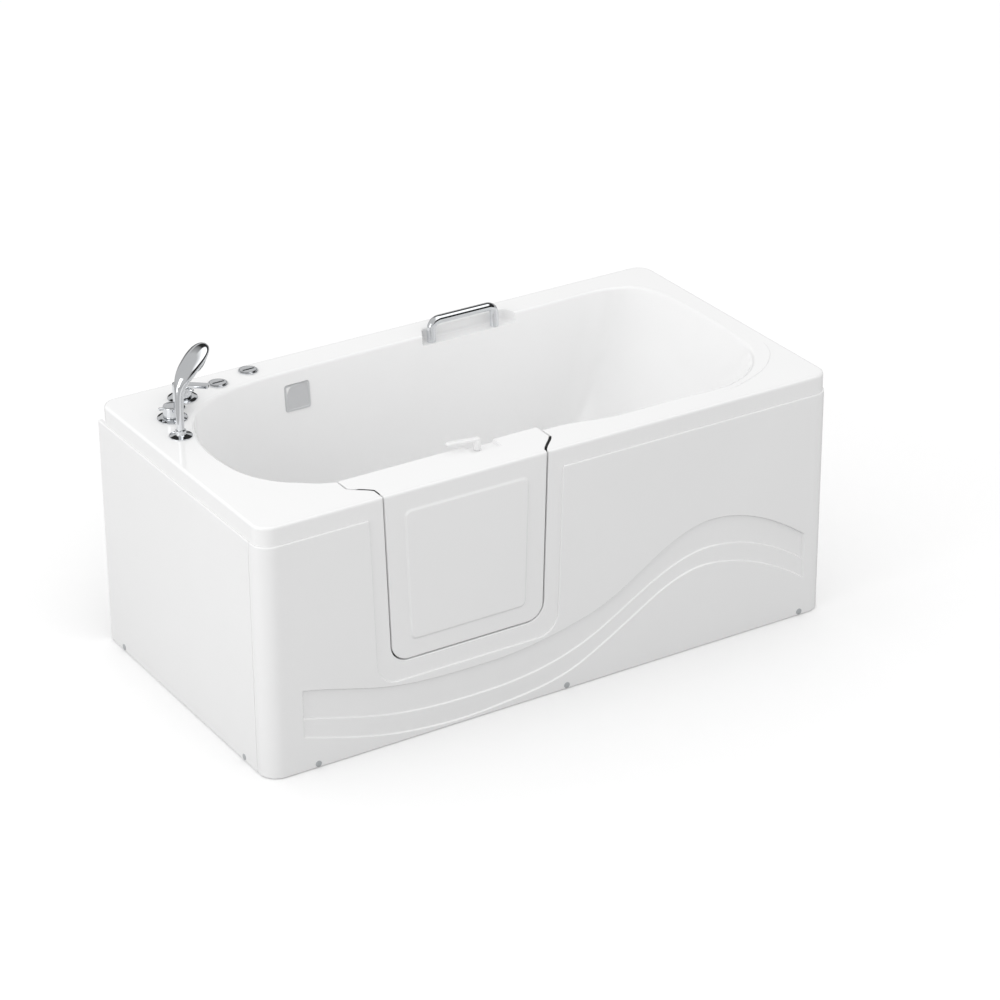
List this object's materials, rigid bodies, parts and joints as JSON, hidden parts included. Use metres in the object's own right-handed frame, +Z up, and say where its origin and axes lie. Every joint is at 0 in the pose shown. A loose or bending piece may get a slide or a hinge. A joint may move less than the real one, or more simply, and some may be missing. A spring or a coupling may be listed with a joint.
{
  "type": "walk-in bathtub",
  "caption": "White rectangular walk-in bathtub with an inward-opening plug door, wave-moulded front apron, deck taps, hand shower, overflow and a recessed grab bar.",
  "frame": {"origin": "on the floor under the centre of the tub's outline", "axes": "+X along the rim from the tap end to the head end, -Y out of the front face with the door, +Z up"},
  "size_m": [1.712, 0.882, 0.9243],
  "materials": {
    "white_acrylic": "gloss",
    "white_lever": "gloss",
    "chrome": "polished",
    "satin_chrome": "satin",
    "stainless": "brushed",
    "frame_steel": "galvanised",
    "zinc_steel": "zinc plated",
    "brass": "machined",
    "pipe_plastic": "matte",
    "grey_plastic": "satin",
    "spray_rubber": "matte",
    "black_rubber": "matte",
    "board": "sawn"
  },
  "bodies": {
    "tub": {"tub_rim": "white_acrylic", "bowl_floor": "white_acrylic", "bowl_foot": "white_acrylic", "bowl_turn": "white_acrylic", "bowl_walls": "white_acrylic", "bowl_bends": "white_acrylic", "door_surround": "white_acrylic", "grab_pocket": "white_acrylic", "base_board": "board", "frame_rails": "frame_steel", "frame_bearers": "frame_steel", "frame_posts": "frame_steel", "frame_top_rails": "frame_steel", "foot_pads": "black_rubber", "foot_rods": "zinc_steel", "foot_nuts": "zinc_steel", "front_apron": "white_acrylic", "left_end_panel": "white_acrylic", "right_end_panel": "white_acrylic", "panel_brackets": "zinc_steel", "panel_screws": "zinc_steel", "screw_caps": "grey_plastic", "grab_bar": "chrome", "grab_bar_nuts": "zinc_steel", "overflow_plate": "satin_chrome", "overflow_elbow": "pipe_plastic", "overflow_pipe": "pipe_plastic", "waste_body": "chrome", "waste_nut": "brass", "waste_trap": "pipe_plastic", "tap_flanges": "chrome", "tap_valves": "brass", "deck_nuts": "brass", "bath_spout": "chrome", "knob_rings": "chrome", "diverter_valve": "brass", "control_body": "pipe_plastic", "shower_holder": "chrome", "door_seal": "black_rubber", "hinge_frame_leaves": "stainless", "hinge_pins": "stainless", "hinge_frame_screws": "stainless", "hinge_backing": "stainless", "strike_plate": "stainless"},
    "door": {"door_outer_skin": "white_acrylic", "door_inner_liner": "white_acrylic", "door_stiffener": "frame_steel", "hinge_door_leaves": "stainless", "hinge_door_screws": "stainless", "latch_case": "pipe_plastic"},
    "latch_bolt": {"latch_bolt": "stainless"},
    "latch_lever": {"latch_lever": "white_lever"},
    "front_tap": {"front_tap_handle": "chrome"},
    "rear_tap": {"rear_tap_handle": "chrome"},
    "diverter": {"diverter_knob": "chrome"},
    "waste_control": {"control_knob": "chrome"},
    "waste_plug": {"waste_plug": "chrome"},
    "hand_shower": {"hand_shower": "chrome", "spray_face": "spray_rubber"}
  },
  "joints": [
    {"name": "door_swing", "type": "hinge", "parent": "tub", "child": "door", "pos_m": [-0.555, -0.288, 0.46], "axis": [0, 0, 1], "range_deg": [0, 85]},
    {"name": "latch_turn", "type": "hinge", "parent": "door", "child": "latch_lever", "pos_m": [-0.164, -0.314, 0.7], "axis": [0, 0, 1], "range_deg": [-90, 0]},
    {"name": "bolt_slide", "type": "slide", "parent": "door", "child": "latch_bolt", "axis": [1, 0, 0], "range_m": [0, 0.014]},
    {"name": "front_tap_turn", "type": "hinge", "parent": "tub", "child": "front_tap", "pos_m": [-0.734, 0.247, 0.715], "axis": [0, 0, 1], "range_deg": [0, 90]},
    {"name": "rear_tap_turn", "type": "hinge", "parent": "tub", "child": "rear_tap", "pos_m": [-0.656, 0.342, 0.715], "axis": [0, 0, 1], "range_deg": [-90, 0]},
    {"name": "diverter_turn", "type": "hinge", "parent": "tub", "child": "diverter", "pos_m": [-0.538, 0.37, 0.703], "axis": [0, 0, 1], "range_deg": [0, 90]},
    {"name": "waste_turn", "type": "hinge", "parent": "tub", "child": "waste_control", "pos_m": [-0.433, 0.4, 0.703], "axis": [0, 0, 1], "range_deg": [0, 90]},
    {"name": "plug_lift", "type": "slide", "parent": "tub", "child": "waste_plug", "axis": [0, 0, 1], "range_m": [0, 0.012]},
    {"name": "shower_lift", "type": "slide", "parent": "tub", "child": "hand_shower", "axis": [0, 0, 1], "range_m": [0, 0.15]}
  ],
  "couplings": [
    {"joint": "bolt_slide", "follows": "latch_turn", "m_per_rad": -0.0089127},
    {"joint": "waste_turn", "follows": "plug_lift", "rad_per_m": 130.89}
  ]
}
